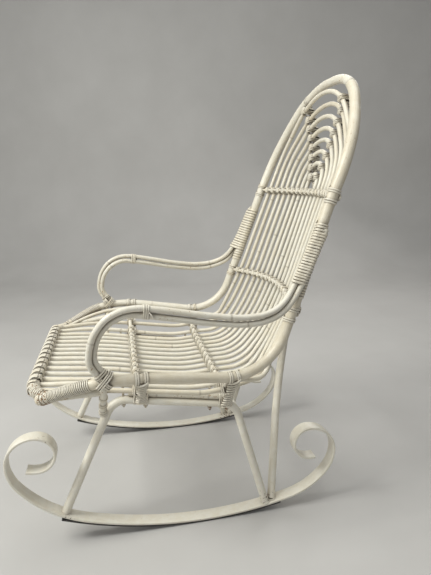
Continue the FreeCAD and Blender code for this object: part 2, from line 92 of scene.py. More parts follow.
def smooth_path(points, share=0.49, step=6.0):
    """Straight runs joined by tangent arcs, sampled; a fourth number is a bend radius."""
    bends = [p[3] if len(p) > 3 else None for p in points]
    pts = [vec(*p[:3]) for p in points]
    out = [pts[0]]

    def run_to(end):
        start = out[-1]
        count = max(1, int(norm(end - start) / step))
        for k in range(1, count + 1):
            out.append(start + (end - start) * k / count)

    for before, corner, after, bend in zip(pts, pts[1:], pts[2:], bends[1:]):
        back = before - corner
        ahead = after - corner
        reach = share * min(norm(back), norm(ahead))
        back = unit(back)
        ahead = unit(ahead)
        angle = math.acos(max(-1, min(1, float(back @ ahead))))
        if pi - angle < 0.004:
            continue
        if bend:
            reach = min(bend / tan(angle / 2), 0.999 * norm(out[-1] - corner))
        radius = reach * tan(angle / 2)
        centre = corner + unit(back + ahead) * (radius / sin(angle / 2))
        start = corner + back * reach
        end = corner + ahead * reach
        if norm(start - out[-1]) > 0.5:
            run_to(start)
        a = start - centre
        b = end - centre
        turn = pi - angle
        count = max(2, int(max(turn * radius / step, turn / 0.12)))
        for k in range(1, count + 1):
            t = turn * k / count
            out.append(centre + (a * sin(turn - t) + b * sin(t)) / sin(turn))
    run_to(pts[-1])
    return np.array(out)


def lengths(path):
    return np.concatenate([[0], np.cumsum(norm(np.diff(path, axis=0), axis=1))])


def tangents(path):
    return unit_rows(np.gradient(path, axis=0))


def frames(path, start=None):
    """Tangents and two cross directions carried along the path without twist."""
    t = tangents(path)
    first = vec(0, 0, 1) if start is None else start
    if abs(first @ t[0]) > 0.9:
        first = vec(1, 0, 0)
    n = np.zeros_like(path)
    n[0] = unit(first - t[0] * (first @ t[0]))
    for k in range(1, len(path)):
        n[k] = unit(n[k - 1] - t[k] * (n[k - 1] @ t[k]))
    return t, n, np.cross(t, n)


def look_up(value, places, points):
    """The point, or points, of a path whose samples lie at the given places."""
    return np.array([np.interp(value, places, points[:, k]) for k in range(3)]).T


def at_length(path, s):
    return look_up(s, lengths(path), path)


def flip(path, side):
    return path * vec(side, 1, 1)


def triples(count, m, a, b, c):
    """A (count, m, 3) array from three parts that broadcast to (count, m)."""
    out = np.zeros((count, m, 3))
    for k, part in enumerate((a, b, c)):
        out[:, :, k] = part
    return out


# ---- mesh building

def add_object(name, data):
    obj = bpy.data.objects.new(name, data)
    scene.collection.objects.link(obj)
    return obj


class Build:
    """Collects swept surfaces and writes them as one mesh."""

    def __init__(self):
        self.verts = []
        self.faces = []
        self.flow = []
        self.tint = []
        self.count = 0

    def grid(self, rings, flow, tint, closed_loop=False):
        """rings: (n, m, 3) points in mm; flow and tint: (n, m, 3) shader values.
        flow runs along and round a piece; tint is node line, shade of the piece and wear."""
        n, m = rings.shape[:2]
        base = self.count
        self.verts.append(rings.reshape(-1, 3))
        self.flow.append(flow.reshape(-1, 3))
        self.tint.append(tint.reshape(-1, 3))
        last = n if closed_loop else n - 1
        for i in range(last):
            a = base + i * m
            b = base + ((i + 1) % n) * m
            for j in range(m):
                k = (j + 1) % m
                self.faces.append((a + j, a + k, b + k, b + j))
        if not closed_loop:
            self.faces.append(tuple(base + j for j in reversed(range(m))))
            self.faces.append(tuple(base + (n - 1) * m + j for j in range(m)))
        self.count += n * m

    def sweep(self, path, radius, seed, sides=14, ring=None, wear=0.0, section=None, start=None, dome=0.0):
        """A pole or a bar along the path.  radius is a number or one per sample; dome rounds the ends."""
        t, n, b = frames(path, start)
        count = len(path)
        radius = np.full(count, radius, float)
        angle = np.linspace(0, 2 * pi, sides, endpoint=False)
        outline = np.asarray(section or np.stack([np.cos(angle), np.sin(angle)], 1), float)
        if dome:
            path = np.vstack([path[0] - t[0] * dome, path, path[-1] + t[-1] * dome])
            radius = np.concatenate([[radius[0] * 0.55], radius, [radius[-1] * 0.55]])
            n, b = [np.vstack([v[:1], v, v[-1:]]) for v in (n, b)]
            if ring is not None:
                ring = np.concatenate([[0], ring, [0]])
            if not np.isscalar(wear):
                wear = np.concatenate([wear[:1], wear, wear[-1:]])
            count += 2
        u = outline[:, 0][None, :, None] * radius[:, None, None]
        v = outline[:, 1][None, :, None] * radius[:, None, None]
        rings = path[:, None, :] + u * n[:, None, :] + v * b[:, None, :]
        l = lengths(path)
        m = len(outline)
        around = np.linspace(0, 2 * pi, m, endpoint=False)
        flow = triples(count, m, l[:, None] * MM, np.cos(around) * 0.5 + seed * 7,
                       np.sin(around) * 0.5 + seed * 3)
        tint = triples(count, m, 0 if ring is None else ring[:, None], seed,
                       wear if np.isscalar(wear) else wear[:, None])
        self.grid(rings, flow, tint)

    def ribbon(self, centre, out, across, width, thick, seed, closed=False, wear=0.0):
        """A strip of split cane: flat inside, rounded outside.  centre lies on its inner face."""
        profile = ((-0.5, 0.0), (-0.47, 0.45), (-0.26, 0.88), (0.0, 1.0), (0.26, 0.88), (0.47, 0.45),
                   (0.5, 0.0))
        count = len(centre)
        m = len(profile)
        rings = np.zeros((count, m, 3))
        for j, (u, v) in enumerate(profile):
            rings[:, j] = centre + across * (u * width) + out * (v * thick)
        flow = triples(count, m, lengths(centre)[:, None] * MM,
                       np.array([u for u, v in profile]) * 1.6 + seed * 5, seed * 11)
        self.grid(rings, flow, triples(count, m, 0, seed, wear), closed_loop=closed)

    def finish(self, name, slot):
        """Writes the mesh in metres, with the slot's look, in place of the node of the same name."""
        mesh = bpy.data.meshes.new(name)
        verts = (np.vstack(self.verts) + vec(0, SHIFT_Y, 0)) * MM
        mesh.from_pydata(verts.tolist(), [], self.faces)
        for label, data in (("flow", self.flow), ("tint", self.tint)):
            attribute = mesh.attributes.new(label, "FLOAT_VECTOR", "POINT")
            attribute.data.foreach_set("vector", np.vstack(data).astype(np.float32).ravel())
        mesh.polygons.foreach_set("use_smooth", [True] * len(mesh.polygons))
        mesh.validate()
        obj = add_object(name, mesh)
        mesh.materials.append(LOOKS[slot])
        mesh.set_sharp_from_angle(angle=SHARP_ANGLE)
        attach(obj, "root")
        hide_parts(name)


def node_places(path, seed, spacing):
    """Lengths along a rattan pole at which its nodes lie."""
    rng = random.Random("pole%s" % seed)
    total = lengths(path)[-1]
    s = rng.uniform(0.15, 0.8) * spacing
    places = []
    while s < total:
        places.append(s)
        s += spacing * rng.uniform(0.7, 1.35)
    return places


def rattan_radius(path, radius, seed, spacing, swell):
    """Radius along a rattan pole with its nodes, and a value that marks the node lines."""
    l = lengths(path)
    out = np.full(len(path), float(radius))
    out *= 1 + 0.018 * np.sin(l / 47.0 + seed * 9) + 0.012 * np.sin(l / 19.0 + seed * 5)
    ring = np.zeros(len(path))
    for s in node_places(path, seed, spacing):
        away = l - s
        out += radius * swell * np.exp(-(away / 4.6) ** 2)
        out -= radius * 0.05 * np.exp(-((away - 4.0) / 1.6) ** 2)
        ring = np.maximum(ring, np.exp(-((away - 3.4) / 1.9) ** 2))
    return out, ring


def fine(path, seed, spacing):
    """The pole's path with more samples where the nodes are, fewer elsewhere."""
    total = lengths(path)[-1]
    keep = set(np.round(np.arange(0, total, 6.0), 3))
    for s in node_places(path, seed, spacing):
        keep.update(np.round(np.arange(max(0, s - NODE_REACH), min(total, s + NODE_REACH), NODE_STEP), 3))
    keep.add(float(total))
    return at_length(path, np.array(sorted(keep)))


def pole(name, path, radius, seed, spacing, swell, sides=14, wear=0.0):
    """A rattan pole as a piece; it wanders a little off its line and has nodes at uneven distances."""
    path = fine(path, seed, spacing)
    width, ring = rattan_radius(path, radius, seed, spacing, swell)
    rng = random.Random("bend%s" % seed)
    n, b = frames(path)[1:]
    l = lengths(path)
    phase = rng.uniform(0, 6)
    sway = 0.5 * np.sin(l / 71.0 + phase) * np.clip(np.minimum(l, l[-1] - l) / 60, 0, 1)
    path = path + n * sway[:, None] * 0.8 + b * sway[::-1, None] * 0.5
    build = Build()
    build.sweep(path, width, rng.random(), sides=sides, ring=ring, wear=wear, dome=1.5)
    build.finish(name, RATTAN)


# ---- cane turns

def hull_points(centres, radii, n, b, samples):
    """Outline, evenly spaced, of the band stretched round circles at the 3-D centres."""
    flat = [(float((c - centres[0]) @ n), float((c - centres[0]) @ b)) for c in centres]
    ring = []
    for k in range(72):
        a = 2 * pi * k / 72
        d = (cos(a), sin(a))
        best = max(range(len(flat)), key=lambda i: flat[i][0] * d[0] + flat[i][1] * d[1] + radii[i])
        ring.append((flat[best][0] + radii[best] * d[0], flat[best][1] + radii[best] * d[1]))
    ring.append(ring[0])
    ring = np.array(ring)
    l = lengths(ring)
    s = np.linspace(0, l[-1], samples + 1)[:-1]
    return np.stack([np.interp(s, l, ring[:, 0]), np.interp(s, l, ring[:, 1])], 1)


def winding(build, main, radius, s0, s1, pitch, width, thick, seed, others=(), samples=28,
            jitter=0.25, wear=0.0):
    """Turns of cane round one or more poles, between two lengths along the main pole.
    others are functions of that length: another pole's point and radius, or None."""
    rng = random.Random("wind%s" % seed)
    turns = max(1, int(round((s1 - s0) / pitch)))
    l = lengths(main)
    t_all, n_all = frames(main)[:2]
    centre = []
    out = []
    across = []
    for k in range(turns * samples + 1):
        share = k / samples
        s = s0 + (s1 - s0) * share / turns
        c = at_length(main, s)
        t = unit(look_up(s, l, t_all))
        n = unit(look_up(s, l, n_all))
        b = np.cross(t, n)
        present = [(c, radius)] + [found for found in (other(s) for other in others) if found]
        ring = hull_points([p[0] for p in present], [p[1] for p in present], n, b, samples)
        q = ring[k % samples]
        tangent = ring[(k + 1) % samples] - ring[(k - 1) % samples]
        normal = unit(vec(tangent[1], -tangent[0], 0))
        wobble = jitter * sin(share * 2.1 + seed) + rng.uniform(-1, 1) * jitter * 0.25
        point = c + n * q[0] + b * q[1]
        o = n * normal[0] + b * normal[1]
        centre.append(point + t * wobble + o * (0.12 * rng.uniform(-1, 1)))
        out.append(o)
        across.append(t)
    build.ribbon(np.array(centre), np.array(out), np.array(across), width, thick,
                 seed=rng.random(), wear=wear)


def loop_round(build, centre, along, normal, half_along, half_normal, width, thick, seed, twist,
               samples=26):
    """One closed turn of cane: a rounded rectangle in the plane of along and normal."""
    side = unit(np.cross(along, normal))
    pts = []
    outs = []
    power = 0.42
    for k in range(samples):
        a = 2 * pi * k / samples
        c = cos(a)
        s = sin(a)
        x = math.copysign(abs(c) ** power, c) * half_along
        y = math.copysign(abs(s) ** power, s) * half_normal
        pts.append(centre + along * x + normal * y + side * twist * sin(a))
        outs.append(unit(along * c * half_normal + normal * s * half_along))
    pts = np.array(pts)
    build.ribbon(pts, np.array(outs), np.tile(side, (samples, 1)), width, thick, seed=seed, closed=True)


def lash(build, centre, a, b, rod_half, bar_half, depth, seed, width, thick, pairs=2):
    """Crossed turns that tie a rod along a to a bar along b; depth is half their joint thickness."""
    rng = random.Random("lash%s" % seed)
    normal = unit(np.cross(a, b))
    for sign in (1, -1):
        d = unit(a + b * sign * rng.uniform(0.85, 1.15))
        side = unit(np.cross(d, normal))
        reach = max(rod_half, bar_half) * 1.36
        for k in range(pairs):
            off = (k - (pairs - 1) / 2) * (width + 0.25)
            lift = 0.35 + (0.9 if sign > 0 else 0.0)
            loop_round(build, centre + side * off, d, normal, reach + lift, depth + lift, width, thick,
                       rng.random(), twist=rng.uniform(-0.6, 0.6))


def strand(build, points, width, thick, normal, seed):
    path = smooth_path(points, step=4.0)
    t = tangents(path)
    across = unit_rows(np.cross(t, normal))
    out = np.cross(across, t)
    build.ribbon(path, out, across, width, thick, seed=seed)


# ---- materials

def give(socket, value):
    """Sets an input, or links it when the value is another node's output."""
    if isinstance(value, bpy.types.NodeSocket):
        socket.id_data.links.new(value, socket)
    else:
        socket.default_value = value


def node(tree, kind, **values):
    """A shader node; a value goes to the input of that name, or else to the setting."""
    n = tree.nodes.new(kind)
    for key, value in values.items():
        if key in n.inputs.keys():
            give(n.inputs[key], value)
        else:
            setattr(n, key, value)
    return n


def ramp(factor, stops):
    n = node(factor.id_data, "ShaderNodeValToRGB", Fac=factor)
    elements = n.color_ramp.elements
    while len(elements) < len(stops):
        elements.new(0.5)
    for element, (place, colour) in zip(elements, stops):
        element.position = place
        element.color = (*colour, 1)
    return n.outputs["Color"]


def mix(tree, factor, a, b, blend="MIX"):
    n = node(tree, "ShaderNodeMix", data_type="RGBA", blend_type=blend)
    give(n.inputs[0], factor)
    for value, socket in ((a, n.inputs[6]), (b, n.inputs[7])):
        give(socket, (*value, 1) if isinstance(value, tuple) else value)
    return n.outputs[2]


def maths(operation, a, b, clamp=False):
    n = node(a.id_data, "ShaderNodeMath", operation=operation, use_clamp=clamp)
    give(n.inputs[0], a)
    give(n.inputs[1], b)
    return n.outputs[0]


def times(a, b, clamp=False):
    return maths("MULTIPLY", a, b, clamp)


def plus(a, b, clamp=False):
    return maths("ADD", a, b, clamp)


def noise(vector, scale, detail=4.0, rough=0.55):
    n = node(vector.id_data, "ShaderNodeTexNoise", Vector=vector, Scale=scale, Detail=detail,
             Roughness=rough)
    return n.outputs["Fac"]


def scaled(vector, factors):
    n = node(vector.id_data, "ShaderNodeVectorMath", operation="MULTIPLY")
    give(n.inputs[0], vector)
    give(n.inputs[1], factors)
    return n.outputs[0]


def bump(height, strength, distance, bsdf):
    n = node(bsdf.id_data, "ShaderNodeBump", Strength=strength, Distance=distance, Height=height)
    give(bsdf.inputs["Normal"], n.outputs[0])


def object_place(tree):
    return tree.nodes.new("ShaderNodeTexCoord").outputs["Object"]


def new_material(name):
    material = bpy.data.materials.new(name)
    material.use_nodes = True
    return material, material.node_tree


def paint(name, base, warm, node_dirt_and_shade, bare, rough, grain=1.0, chips=0.5, crease_shade_amount=0.55, streak=40.0):
    """Aged brushed paint over grain, darkened in its creases by painted shade from an ambient-occlusion
    mask.  bare is what shows where the paint is gone.
    """
    material, tree = new_material(name)
    tree.nodes.clear()
    out = node(tree, "ShaderNodeOutputMaterial")
    bsdf = node(tree, "ShaderNodeBsdfPrincipled", **{"Coat Weight": 0.12, "Coat Roughness": 0.32})
    give(out.inputs[0], bsdf.outputs[0])
    place = object_place(tree)
    flow = node(tree, "ShaderNodeAttribute", attribute_name="flow").outputs["Vector"]
    tint = node(tree, "ShaderNodeAttribute", attribute_name="tint").outputs["Vector"]
    ring, seed, wear = node(tree, "ShaderNodeSeparateXYZ", Vector=tint).outputs
    blotch = noise(place, 9.0, 3.0)
    cloud = noise(place, 55.0, 4.0, 0.6)
    fibre = noise(scaled(flow, (14.0, 9.0, 9.0)), 2.6, 5.0, 0.65)
    hair = noise(scaled(flow, (streak, 30.0, 30.0)), 2.2, 3.0, 0.6)
    colour = mix(tree, times(blotch, 0.9), base, warm)
    tones = [(0.0, (0.94, 0.94, 0.93)), (0.55, (1, 1, 1)), (0.9, (0.97, 0.95, 0.91)),
             (1.0, (0.90, 0.865, 0.80))]
    colour = mix(tree, 1.0, colour, ramp(seed, tones), "MULTIPLY")
    for pattern, share, low, shade, high in ((fibre, 0.55 * grain, 0.32, (0.80, 0.75, 0.66), 0.52),
                                             (hair, 0.45 * grain, 0.36, (0.84, 0.80, 0.73), 0.55),
                                             (cloud, 0.45, 0.40, (0.90, 0.86, 0.78), 0.62)):
        stain = ramp(pattern, [(low, shade), (high, (1, 1, 1))])
        colour = mix(tree, share, colour, stain, "MULTIPLY")
    colour = mix(tree, times(ring, 0.4), colour, node_dirt_and_shade)
    # painted shade: the ambient-occlusion mask darkens creases and gaps between parts towards the dark
    # colour, broken up by cloud noise; the same dark colour also marks the node lines above
    nearby = node(tree, "ShaderNodeAmbientOcclusion", samples=5, Distance=0.016)
    crease = ramp(nearby.outputs["AO"], [(0.38, (1, 1, 1)), (0.93, (0, 0, 0))])
    painted_crease_shade = times(crease, plus(times(cloud, 0.9), 0.25))
    colour = mix(tree, times(painted_crease_shade, crease_shade_amount, True), colour, node_dirt_and_shade)
    speck = noise(place, 210.0, 2.0, 0.7)
    worn = plus(times(wear, 0.34), speck)
    worn = plus(worn, times(maths("SUBTRACT", blotch, 0.5), 0.5))
    edge = 0.80 - 0.06 * chips
    gone = ramp(worn, [(edge, (0, 0, 0)), (edge + 0.025, (1, 1, 1))])
    colour = mix(tree, gone, colour, bare)
    give(bsdf.inputs["Base Color"], colour)
    gloss = plus(times(fibre, 0.22), rough - 0.11)
    gloss = plus(gloss, times(gone, 0.3), True)
    give(bsdf.inputs["Roughness"], gloss)
    height = times(hair, 0.35 * grain)
    height = plus(height, times(cloud, 0.4))
    height = plus(height, times(fibre, 0.5 * grain))
    height = maths("SUBTRACT", height, times(gone, 0.35))
    bump(height, 0.42, 0.0011, bsdf)
    return material


def rubber(name):
    """Dusty black rubber."""
    material, tree = new_material(name)
    bsdf = tree.nodes["Principled BSDF"]
    place = object_place(tree)
    cloud = noise(place, 40.0, 5.0, 0.6)
    dust = ramp(cloud, [(0.35, (0.018, 0.017, 0.016)), (0.7, (0.075, 0.068, 0.060))])
    give(bsdf.inputs["Base Color"], dust)
    give(bsdf.inputs["Roughness"], plus(times(cloud, 0.3), 0.6))
    bump(noise(place, 420.0, 3.0), 0.4, 0.0006, bsdf)
    return material


# the record's material slots
RATTAN = "painted_rattan"
CANE = "cane_binding"
STEEL = "painted_steel"
FASTENER = "fasteners"
RUBBER = "rubber"
# the third colour of each paint marks its node lines and is also the colour of the painted shade in its
# creases; the crease amount sets how strong that painted shade is
LOOKS = {
    RATTAN: paint(RATTAN, (0.82, 0.80, 0.73), (0.77, 0.735, 0.63), (0.16, 0.115, 0.065),
                  (0.42, 0.29, 0.16), rough=0.40, crease_shade_amount=0.85),
    CANE: paint(CANE, (0.84, 0.82, 0.75), (0.78, 0.74, 0.635), (0.12, 0.082, 0.045),
                (0.25, 0.15, 0.075), rough=0.44, grain=1.15, chips=0.55, crease_shade_amount=1.5, streak=70.0),
    STEEL: paint(STEEL, (0.81, 0.79, 0.72), (0.77, 0.735, 0.63), (0.20, 0.14, 0.085),
                 (0.13, 0.075, 0.045), rough=0.36, grain=0.35, chips=0.75),
    FASTENER: paint(FASTENER, (0.70, 0.66, 0.57), (0.62, 0.56, 0.45), (0.16, 0.10, 0.06),
                    (0.20, 0.10, 0.05), rough=0.45, grain=0.3, chips=1.6, crease_shade_amount=0.9),
    RUBBER: rubber(RUBBER),
}


# ---- shape of the back and seat

BACK_HALF = 238.0
LEAN_SLOPE = 0.352
FRONT_Y = -330
MID_BAR_Y = -120
REAR_BAR_Y = 66
# sideways spacing of the rods at the front edge, on the seat, at the knee and up the back
FRONT_PITCH = 29.5
SEAT_PITCH = 31.0
KNEE_PITCH = 28.3
LUMBAR_PITCH = 27.5
UPPER_PITCH = 26.3
FIRST_ARCH_TOP = 787
ARCH_STEP = 27.9
ARCH_HALF_FACTOR = 1.15
# where the reclined plane passes, and how far and where it bows back near its top
PLANE_AT = (208.5, 496)
TOP_BOW = 8
BOW_FROM = 740
BOW_OVER = 160
TOP_JOINT_X = 121
ARM_RING_Y = -98
# heights of the long bindings: foot, where the arms join the frame, top
WRAP_HEIGHTS = (535, 560, 687)
ROCKER_X = 213
RUNNER_ENDS = (-138, 92)
COLLAR_Y = (-112, 78)
CROSS_BAR_Y = 112.0
CROSS_BAR_Z = 240.0
SEAT = [(-250, 354), (-170, 345), (-70, 325), (10, 315), (65, 320), (150, 322)]
ROD_6_LIFT = 6
ROD_7 = [(208, -319, 361), (226, -250, 362), (234, -170, 358), (236, -118, 351), (236, -20, 336),
         (236, 20, 330), (234, 74, 336), (217, 150, 345)]
ROD_8 = [(214, -306, 358), (263, -222, 383), (273, -130, 391), (254, 62, 365), (242, 154, 352)]
FRONT_RAIL = [(254, -190, 368), (246, -225, 364), (230, -330, 354, 60), (176, -330, 362)]
FRAME_SEAT = [(229, -320, 349), (284, -215, 398), (290, -130, 404), (259, 158, 363, 125)]
HOOP = [(214, -294, 58), (185, -172, 314, 45), (188, 101, 272, 45), (217, 169, 20)]
BACK_STAY = [(213, 185, 20), (140, 219, 232), (98, 247, 345), (60, 283, 470, 80)]
BOLT_Y = [-150, -103, 42, 82]
ARM_UPPER = [(295, -187, 408), (303, -209, 446), (303, -206, 473), (303, -197, 502), (303, -174, 532),
             (303, -140, 547), (301, -109, 548), (300, -49, 537), (300, 17, 523), (300, 87, 513),
             (297, 130, 514), (290, 160, 521), (276, 184, 534), (264, 204, 556), (259, 224, 590),
             (258, 241, 630), (258, 261, 675)]
ARM_LOWER = [(292, -173, 408), (294, -199, 446), (294, -197, 470), (294, -188, 497), (294, -167, 521),
             (295, -136, 535), (298, -106, 533), (300, -30, 519), (300, 17, 509), (300, 90, 499),
             (297, 132, 500), (290, 165.5, 509), (276, 192, 523), (266, 215, 549), (265, 236, 590),
             (262.6, 253.5, 630), (260, 274, 675)]
STRUT = [(275, -187, 388), (256, -187, 362), (226, -190, 338, 30), (201, -195, 287)]
VEE = [(121, 984, 9), (78, 900, 11), (38, 822, 11), (5, 756, 11)]
UPPER_Z = 741.0
LUMBAR_Z = 498.0
# the lumbar canes rise towards the middle by this much over this half width
LUMBAR_RISE = 10
LUMBAR_REACH = 250

# How deep the rods dip behind the outer frame on the centre line: (height, depth) pairs.
HOLLOW = [(0, 48), (700, 48), (790, 42), (868, 28), (926, 9), (957, 3), (985, -21), (1100, -21)]


def plane_y(z):
    """The reclined plane of the outer frame, bowed back a little near its top."""
    bow = TOP_BOW * min(1, max(0, (z - BOW_FROM) / BOW_OVER))
    return PLANE_AT[0] + LEAN_SLOPE * (z - PLANE_AT[1]) + bow


def hollow(x, z):
    depth = float(np.interp(z, [h[0] for h in HOLLOW], [h[1] for h in HOLLOW]))
    return 8 + depth * (1 - (x / BACK_HALF) ** 2)


def back_point(x, z, off=0.0):
    lean = math.atan(LEAN_SLOPE)
    return vec(x, plane_y(z) + hollow(x, z) + off * cos(lean), z - off * sin(lean))


def arch_corners(half, top):
    near = tan(radians(22.5))
    return [(half, top - half * ARCH_HALF_FACTOR * (1 - near)), (half * near, top)]


def seat_part(number):
    """One side of a rod loop over the seat, from the front edge to the back."""
    if number > 6:
        return ROD_7 if number == 7 else ROD_8
    lift = ROD_6_LIFT if number == 6 else 0
    front = (FRONT_PITCH * number, -325.5, 359.5)
    return [front] + [(SEAT_PITCH * number, y, z + lift) for y, z in SEAT]


def back_part(number):
    knee = back_point(KNEE_PITCH * number, 400)
    low = back_point(LUMBAR_PITCH * number, 504)
    high = back_point(UPPER_PITCH * number, 736)
    return [(knee[0], knee[1] - 12, knee[2]), tuple(low), tuple(high)]


def arch_top(number):
    return FIRST_ARCH_TOP + ARCH_STEP * (number - 1)


def loop_points(number):
    arch = [tuple(back_point(x, z)) for x, z in arch_corners(UPPER_PITCH * number, arch_top(number))]
    return mirrored(seat_part(number) + back_part(number) + arch)


def rod_at(number, y):
    """x and z of a rod's line over the seat at one y."""
    points = seat_part(number)
    for a, b in zip(points, points[1:]):
        if a[1] <= y <= b[1]:
            share = (y - a[1]) / (b[1] - a[1])
            return a[0] + share * (b[0] - a[0]), a[2] + share * (b[2] - a[2])


def direction_at(path, point):
    k = int(np.argmin(norm(path - point, axis=1)))
    k = min(max(k, 1), len(path) - 2)
    return unit(path[k + 1] - path[k - 1])


def nearest(path, point):
    return path[int(np.argmin(norm(path - point, axis=1)))]


def length_where(path, axis, value):
    """Length along the path at which a coordinate first passes a value."""
    l = lengths(path)
    d = path[:, axis] - value
    for k in range(len(path) - 1):
        if d[k] == 0 or d[k] * d[k + 1] < 0:
            return l[k] + (l[k + 1] - l[k]) * abs(d[k]) / (abs(d[k]) + abs(d[k + 1]))
    return l[int(np.argmin(np.abs(d)))]


def length_beyond(path, first, axis, value):
    """The same, looked for from one sample onward."""
    return length_where(path[first:], axis, value) + lengths(path)[first]


# ---- rattan poles

X_AXIS = vec(1, 0, 0)
Z_AXIS = vec(0, 0, 1)

FRAME_ARCH = [(BACK_HALF, 735, 450), (BACK_HALF, 853, 270), (112, 1007, 190)]
frame_arch = [(x, plane_y(z), z, bend) for x, z, bend in FRAME_ARCH]
frame_path = smooth_path(mirrored(FRAME_SEAT + frame_arch))
half_count = len(frame_path) // 2


def frame_half(side):
    """The outer frame's centre line on one side, from the seat front to the middle of the top."""
    return flip(frame_path[:half_count + 1], side)


FRAME_L = frame_half(1)
joint_s = length_beyond(FRAME_L, len(FRAME_L) // 2, 0, TOP_JOINT_X)


def cut(path, s0, s1):
    l = lengths(path)
    inner = l[(l > s0 + 1) & (l < s1 - 1)]
    return at_length(path, np.concatenate([[s0], inner, [s1]]))


for word, side in SIDES.items():
    b = Build()
    path = cut(frame_half(side), 6, joint_s - 0.6)
    fine_path = fine(path, 20 + side, 430)
    width, ring = rattan_radius(fine_path, FRAME, 20 + side, 430, 0.03)
    level = np.clip((fine_path[:, 2] - 560) / 260, 0, 1) * 0.15
    low = np.clip((-250 - fine_path[:, 1]) / 50, 0, 1) * (0.6 if side > 0 else 0.2)
    width = width * (1 - 0.09 * np.clip((200 - fine_path[:, 1]) / 150, 0, 1))
    b.sweep(fine_path, width, 0.7 + 0.28 * side, sides=22, ring=ring * 0.35, wear=level + low, dome=1.0)
    b.finish("frame_pole_" + word, RATTAN)

b = Build()
arch_half = cut(FRAME_L, joint_s + 0.6, lengths(FRAME_L)[-1])
mid_path = np.vstack([arch_half, flip(arch_half, -1)[::-1][1:]])
width, ring = rattan_radius(mid_path, ARCH_RAD, 33, 400, 0.03)
b.sweep(mid_path, width, 0.62, sides=22, ring=ring * 0.35, wear=0.2, dome=1.0)
b.finish("top_arch", RATTAN)

rod_paths = {}
for number in range(1, 9):
    rod_paths[number] = smooth_path(loop_points(number))
    pole("rod_loop_%d" % number, rod_paths[number], ROD, number, 420, 0.03, wear=0.06)
rod_paths[0] = smooth_path(seat_part(0) + back_part(0)[:2] + [tuple(back_point(0, 748))])
pole("centre_rod", rod_paths[0], ROD, 0, 420, 0.03, wear=0.06)


def rail_point(y):
    a = HOOP[1]
    c = HOOP[2]
    share = (y - a[1]) / (c[1] - a[1])
    return vec(a[0] + share * (c[0] - a[0]), y, a[2] + share * (c[2] - a[2]))


rail_path = smooth_path(mirrored(FRONT_RAIL), step=4.0)
pole("seat_front_rail", rail_path, RAIL, 51, 300, 0.03, sides=18, wear=0.3)

for word, side in SIDES.items():
    ends = [rail_point(y) + vec(0, 0, TUBE + RUNNER + 0.2) for y in RUNNER_ENDS]
    path = smooth_path([tuple(flip(p, side)) for p in ends])
    pole("runner_" + word, path, RUNNER, 60 + side, 150, 0.06, wear=0.4)
    path = smooth_path(side_points(STRUT, side), step=3.0)
    pole("arm_strut_" + word, path, STRUT_RAD, 64 + side, 400, 0.05, wear=0.2)


def back_cane(z, rise, off, reach):
    shares = (1, 0.72, 0.4, 0.14)
    return smooth_path(mirrored([back_point(reach * k, z + rise * (1 - k ** 2), off) for k in shares]))


def seat_bar(y):
    over = ROD + BAR + 0.15
    x7, z7 = rod_at(7, y)
    x6, z6 = rod_at(6, y)
    slope = (z7 - z6) / (x7 - x6)
    points = [(x7 + 9, y, z7 + over + 9 * slope)]
    for number in (6, 5, 2):
        x, z = rod_at(number, y)
        points.append((x, y, z + over))
    return smooth_path(mirrored(points))


bar_paths = {
    "upper_front_cane": (back_cane(UPPER_Z, 0, -(ROD + CANE_RAD + 0.1), 228), CANE_RAD),
    "upper_back_cane": (back_cane(UPPER_Z, 0, ROD + CANE_RAD + 0.1, 246), CANE_RAD),
    "lumbar_front_cane": (back_cane(LUMBAR_Z, LUMBAR_RISE, -(ROD + LUMBAR_RAD + 0.1), 236), LUMBAR_RAD),
    "lumbar_back_cane": (back_cane(LUMBAR_Z, LUMBAR_RISE, ROD + LUMBAR_RAD + 0.1, LUMBAR_REACH), LUMBAR_RAD),
    "mid_seat_bar": (seat_bar(MID_BAR_Y), BAR),
    "rear_seat_bar": (seat_bar(REAR_BAR_Y), BAR),
}
for k, (label, (path, radius)) in enumerate(bar_paths.items()):
    pole(label, path, radius, 70 + k, 160, 0.06, sides=12, wear=0.35 if "seat" in label else 0.2)

carrier_paths = {}
for word, side in SIDES.items():
    carrier_paths[word] = smooth_path([tuple(back_point(side * x, z, off)) for x, z, off in VEE], step=3.0)
    pole("vee_carrier_" + word, carrier_paths[word], CARRIER, 80 + side, 120, 0.08, sides=12)

arm_paths = {}
for word, side in SIDES.items():
    for level, points, seed in (("upper", ARM_UPPER, 90 + side), ("lower", ARM_LOWER, 93 + side)):
        path = smooth_path(side_points(points, side), step=4.0)
        arm_paths[level, word] = path
        pole("arm_%s_%s" % (level, word), path, ARM, seed, 260, 0.06, sides=16, wear=0.3)

# ---- steel base

ROCKING = 885.0
CONTACT_Y = 28.0
TREAD = 3.5
THICK = 5.5
WIDTH = 30.0
SCROLL_FRONT = [(276, 36.1), (101, 36.2), (61, 90), (44, 90), (40, 90), (88, 16)]
SCROLL_REAR = [(171, 38.5), (85, 38.4), (68, 90), (39, 90), (44, 90), (98, 7)]
FRONT_ANGLE = 17.7
REAR_ANGLE = 13.1
CHAIN_STEP = 3.5


def chain_path(chain, start, heading, offset):
    """Tangent arcs in the side view that all turn the same way, moved to their inner side."""
    y, z = start
    angle = radians(heading)
    pts = []
    for radius, turn in chain:
        cy = y - radius * sin(angle)
        cz = z + radius * cos(angle)
        after = angle + radians(turn)
        inner = radius - offset
        count = max(4, int(inner * radians(turn) / CHAIN_STEP))
        for k in range(count + 1):
            a = angle + (after - angle) * k / count
            if pts and k == 0:
                continue
            pts.append((0.0, cy + inner * sin(a), cz - inner * cos(a)))
        y = cy + radius * sin(after)
        z = cz - radius * cos(after)
        angle = after
    return np.array(pts)


